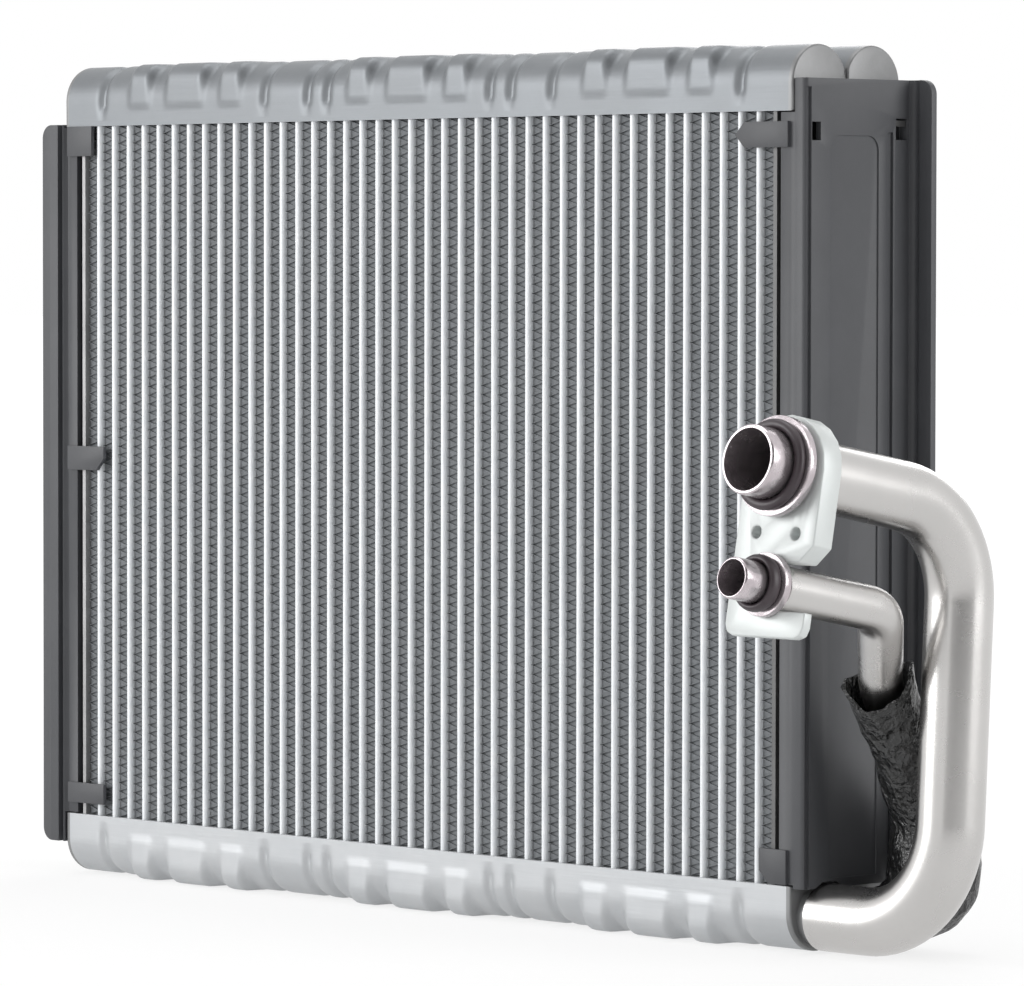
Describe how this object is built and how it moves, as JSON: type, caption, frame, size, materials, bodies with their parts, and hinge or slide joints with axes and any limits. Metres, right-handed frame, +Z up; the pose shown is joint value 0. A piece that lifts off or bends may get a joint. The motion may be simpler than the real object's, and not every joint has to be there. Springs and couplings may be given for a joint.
{
  "type": "evaporator core",
  "caption": "Flat-tube and folded-fin evaporator core between twin-barrel header tanks, with black end covers, two bent pipes, sealing rings and a connector plate.",
  "frame": {"origin": "on the plane that the flat pads of the lower header stand on, under the middle of the core's width and depth", "axes": "+X along the headers towards the pipes, +Y through the core away from the connector, +Z up"},
  "size_m": [0.3795, 0.115, 0.2463],
  "materials": {
    "header_metal": "brazed, satin",
    "tube_metal": "brazed, satin",
    "fin_metal": "thin folded sheet, matte",
    "cover_plastic": "moulded, matte",
    "pipe_metal": "drawn, satin",
    "spigot_metal": "turned",
    "plate_metal": "extruded and cut",
    "seal_rubber": "moulded",
    "wrap_tape": "crinkled foam-backed tape, semi-gloss"
  },
  "bodies": {
    "root": {"upper_tank": "header_metal", "lower_tank": "header_metal", "upper_header_plate": "header_metal", "lower_header_plate": "header_metal", "upper_left_end_cap": "header_metal", "upper_right_end_cap": "header_metal", "lower_left_end_cap": "header_metal", "lower_right_end_cap": "header_metal", "front_baffle": "header_metal", "rear_baffle": "header_metal", "flat_tubes": "tube_metal", "fin_strips": "fin_metal", "left_side_plate": "tube_metal", "right_side_plate": "tube_metal", "left_cover": "cover_plastic", "right_cover": "cover_plastic", "suction_pipe": "pipe_metal", "liquid_pipe": "pipe_metal", "liquid_pipe_wrap": "wrap_tape", "suction_spigot": "spigot_metal", "liquid_spigot": "spigot_metal", "suction_seal_ring": "seal_rubber", "liquid_seal_ring": "seal_rubber", "connector_plate": "plate_metal"}
  },
  "joints": []
}
